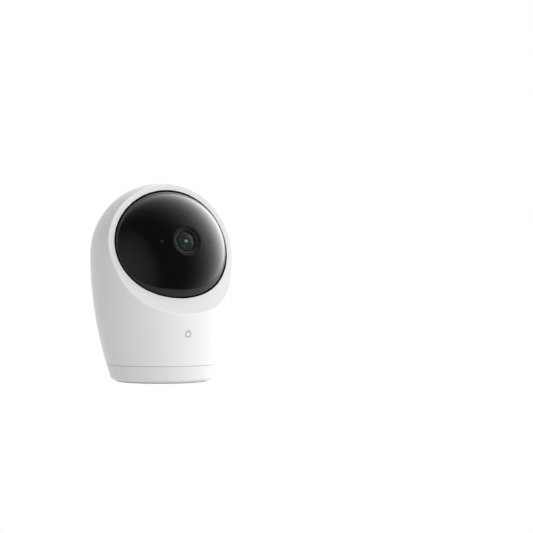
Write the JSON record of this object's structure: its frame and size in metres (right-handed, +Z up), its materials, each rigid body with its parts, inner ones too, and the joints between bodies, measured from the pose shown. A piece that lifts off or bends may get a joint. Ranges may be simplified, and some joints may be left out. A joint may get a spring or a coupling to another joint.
{
  "type": "baby monitor camera",
  "caption": "Egg-shaped pan-and-tilt baby monitor camera: weighted base, turning body with a scooped front opening, and a glossy camera ball that tilts in it.",
  "frame": {"origin": "centre of the foot ring's underside, on the pan axis", "axes": "+Z up along the pan axis; the camera faces -Y; +X is the left-right tilt axis"},
  "size_m": [0.082, 0.0795, 0.114],
  "materials": {
    "white_shell": "satin moulded",
    "gloss_black": "polished",
    "lens_black": "fine texture",
    "lens_glass": "coated",
    "dark_plastic": "moulded",
    "white_acetal": "moulded",
    "foot_rubber": "matt",
    "steel": "plated",
    "brass": "turned",
    "heat_sink_metal": "anodised",
    "board": "solder resist",
    "light_guide": "translucent",
    "ribbon": "film"
  },
  "bodies": {
    "base": {"base_shell": "white_shell", "base_plate": "white_shell", "foot_pad": "foot_rubber", "tripod_insert": "brass", "ballast_weight": "steel", "base_board": "board", "power_socket": "steel", "button_switches": "dark_plastic", "base_connector": "white_acetal", "base_screws": "steel", "pan_sun_gear": "white_acetal", "thrust_washer": "white_acetal", "retaining_clip": "steel"},
    "power_button": {"power_button": "white_shell"},
    "pair_button": {"pair_button": "white_shell"},
    "turning_body": {"front_shell": "white_shell", "rear_cover": "white_shell", "chassis": "dark_plastic", "left_arm": "dark_plastic", "right_arm": "dark_plastic", "pivot_stub": "steel", "tilt_fixed_gear": "white_acetal", "arm_bush": "brass", "pan_motor": "steel", "motor_screws": "steel", "shell_screws": "steel", "main_board": "board", "radio_shield": "steel", "heat_sink": "heat_sink_metal", "board_connector": "white_acetal", "status_led": "light_guide", "status_light_guide": "light_guide", "status_light_cap": "white_shell", "microphone": "steel", "speaker": "dark_plastic", "speaker_gasket": "foot_rubber", "antenna": "ribbon", "wire_bundle": "dark_plastic", "camera_ribbon": "ribbon"},
    "pan_pinion": {"pan_pinion": "brass"},
    "camera_ball": {"ball_front": "gloss_black", "ball_rear": "gloss_black", "ball_bush": "brass", "tilt_trunnion": "steel", "ball_screws": "steel", "motor_bracket": "dark_plastic", "tilt_motor": "steel", "lens_bezel": "lens_black", "lens_glass": "lens_glass", "lens_barrel": "lens_black", "iris_ring": "lens_black", "inner_lens": "lens_glass", "lens_holder": "lens_black", "image_sensor": "dark_plastic", "sensor_board": "board", "infrared_board": "board", "infrared_led": "light_guide", "light_sensor": "gloss_black"},
    "tilt_pinion": {"tilt_pinion": "brass"}
  },
  "joints": [
    {"name": "pan", "type": "hinge", "parent": "base", "child": "turning_body", "pos_m": [0, 0, 0], "axis": [0, 0, 1], "range_deg": [-165, 165]},
    {"name": "tilt", "type": "hinge", "parent": "turning_body", "child": "camera_ball", "pos_m": [0, 0, 0.073], "axis": [1, 0, 0], "range_deg": [-50, 40]},
    {"name": "pan_pinion_spin", "type": "hinge", "parent": "turning_body", "child": "pan_pinion", "pos_m": [0.01194, 0.01194, 0.012], "axis": [0, 0, 1], "range_deg": [-496, 496]},
    {"name": "tilt_pinion_spin", "type": "hinge", "parent": "camera_ball", "child": "tilt_pinion", "pos_m": [-0.029, 0.01219, 0.06989], "axis": [1, 0, 0], "range_deg": [-130, 104]},
    {"name": "power_press", "type": "slide", "parent": "base", "child": "power_button", "axis": [-0.4384, -0.8988, 0], "range_m": [0, 0.0006], "stiffness_N_per_m": 400},
    {"name": "pair_press", "type": "slide", "parent": "base", "child": "pair_button", "axis": [0.4384, -0.8988, 0], "range_m": [0, 0.0006], "stiffness_N_per_m": 400}
  ],
  "couplings": [
    {"joint": "pan_pinion_spin", "follows": "pan", "ratio": 3},
    {"joint": "tilt_pinion_spin", "follows": "tilt", "ratio": 2.5714}
  ]
}
